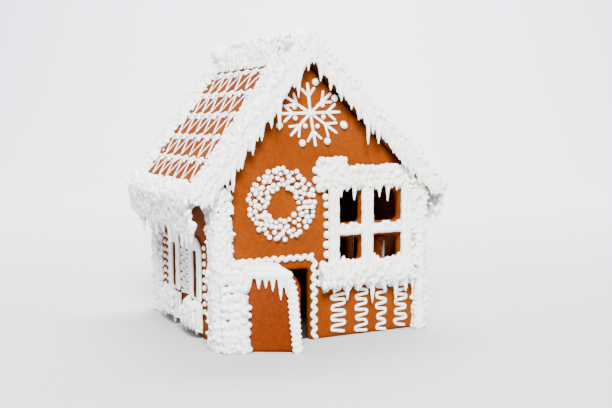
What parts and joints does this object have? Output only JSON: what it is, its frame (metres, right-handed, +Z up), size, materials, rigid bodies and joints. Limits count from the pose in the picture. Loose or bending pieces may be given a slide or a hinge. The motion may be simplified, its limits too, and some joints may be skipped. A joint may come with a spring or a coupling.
{
  "type": "gingerbread house",
  "caption": "Hollow gingerbread house with a steep roof, a door fixed ajar, open windows and thick white royal icing with piped lace.",
  "frame": {"origin": "on the ground, in the middle of the whole footprint", "axes": "+Z up; the front gable with the door faces -Y; the ridge runs along Y; the open door hangs on the -X side"},
  "size_m": [0.1894, 0.1814, 0.208],
  "materials": {
    "gingerbread": "baked gingerbread, matt, fine crumb with small pits and softly rounded edges",
    "royal_icing": "dried royal icing, white with a faint cream tint, satin, lumpy and drawn out in tips"
  },
  "bodies": {
    "root": {"door": "gingerbread", "icing_corner_back_left": "royal_icing", "icing_corner_back_right": "royal_icing", "icing_corner_front_left": "royal_icing", "icing_corner_front_right": "royal_icing", "icing_door_hinge": "royal_icing", "icing_door_side": "royal_icing", "icing_door_top": "royal_icing", "icing_eave_left": "royal_icing", "icing_eave_right": "royal_icing", "icing_ridge": "royal_icing", "icing_snowflake": "royal_icing", "icing_verge_back_left": "royal_icing", "icing_verge_back_right": "royal_icing", "icing_verge_front_left": "royal_icing", "icing_verge_front_right": "royal_icing", "icing_window_bar_left": "royal_icing", "icing_window_bar_right": "royal_icing", "icing_window_box_left_far": "royal_icing", "icing_window_box_left_near": "royal_icing", "icing_window_box_right_far": "royal_icing", "icing_window_box_right_near": "royal_icing", "icing_window_hood": "royal_icing", "icing_window_post_left": "royal_icing", "icing_window_post_middle": "royal_icing", "icing_window_post_right": "royal_icing", "icing_window_sill": "royal_icing", "icing_window_surround_left_far": "royal_icing", "icing_window_surround_left_near": "royal_icing", "icing_window_surround_right_far": "royal_icing", "icing_window_surround_right_near": "royal_icing", "icing_wreath": "royal_icing", "roof_left": "gingerbread", "roof_right": "gingerbread", "wall_back": "gingerbread", "wall_front": "gingerbread", "wall_left": "gingerbread", "wall_right": "gingerbread"}
  },
  "joints": []
}
